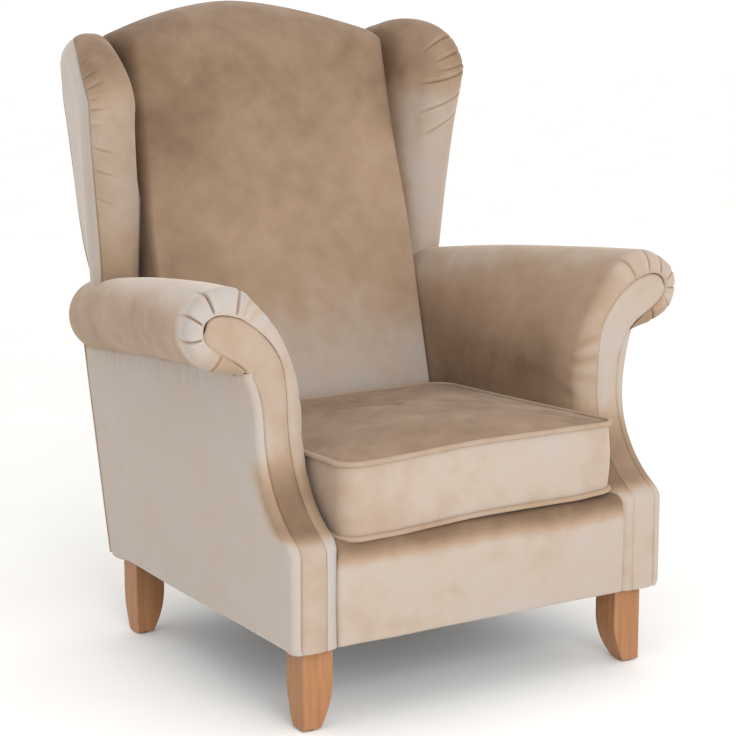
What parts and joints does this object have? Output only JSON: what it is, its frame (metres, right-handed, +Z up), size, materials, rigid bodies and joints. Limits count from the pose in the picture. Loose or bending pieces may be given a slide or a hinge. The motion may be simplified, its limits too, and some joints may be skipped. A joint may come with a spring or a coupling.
{
  "type": "wing chair",
  "caption": "upholstered wing chair with rolled scroll arms, a humped tight back, short tapered wooden legs and a loose boxed seat cushion with corded edges",
  "frame": {"origin": "on the floor under the middle of the chair's bounding box", "axes": "+Z up, the chair faces -Y, +X is on the right as seen from the front"},
  "size_m": [0.9434, 0.917, 1.0999],
  "materials": {
    "velvet": "taupe cut velvet with a nap",
    "leg_wood": "satin lacquered beech",
    "frame_wood": "sawn hardwood",
    "spring_steel": "bare spring steel",
    "insert_brass": "plain brass",
    "lining_cloth": "black lining cloth",
    "glide_plastic": "dark nail-on glide"
  },
  "bodies": {
    "chair": {"arm_facing_left": "velvet", "arm_facing_right": "velvet", "arm_outer_panel_left": "velvet", "arm_outer_panel_right": "velvet", "arm_pad_left": "velvet", "arm_pad_right": "velvet", "arm_rail_left": "frame_wood", "arm_rail_right": "frame_wood", "arm_stump_left": "frame_wood", "arm_stump_right": "frame_wood", "back_post_left": "frame_wood", "back_post_right": "frame_wood", "back_webbing": "lining_cloth", "corner_blocks": "frame_wood", "crest_rail": "frame_wood", "dust_cover": "lining_cloth", "front_apron": "velvet", "front_rail": "frame_wood", "inside_back_pad": "velvet", "leg_bolts": "spring_steel", "leg_front_left": "leg_wood", "leg_front_right": "leg_wood", "leg_glides": "glide_plastic", "leg_inserts": "insert_brass", "leg_rear_left": "leg_wood", "leg_rear_right": "leg_wood", "lumbar_rail": "frame_wood", "outside_back_panel": "velvet", "rear_rail": "frame_wood", "scroll_board_left": "frame_wood", "scroll_board_right": "frame_wood", "seat_deck": "lining_cloth", "seat_springs": "spring_steel", "side_rail_left": "frame_wood", "side_rail_right": "frame_wood", "spring_clips": "spring_steel", "spring_insulator": "lining_cloth", "wing_frame_left": "frame_wood", "wing_frame_right": "frame_wood", "wing_outer_panel_left": "velvet", "wing_outer_panel_right": "velvet", "wing_pad_left": "velvet", "wing_pad_right": "velvet"},
    "cushion": {"seat_cushion": "velvet", "cushion_welt_top": "velvet", "cushion_welt_bottom": "velvet"}
  },
  "joints": [
    {"name": "cushion_lift", "type": "slide", "parent": "chair", "child": "cushion", "axis": [0, 0, 1], "range_m": [0, 0.4]}
  ]
}
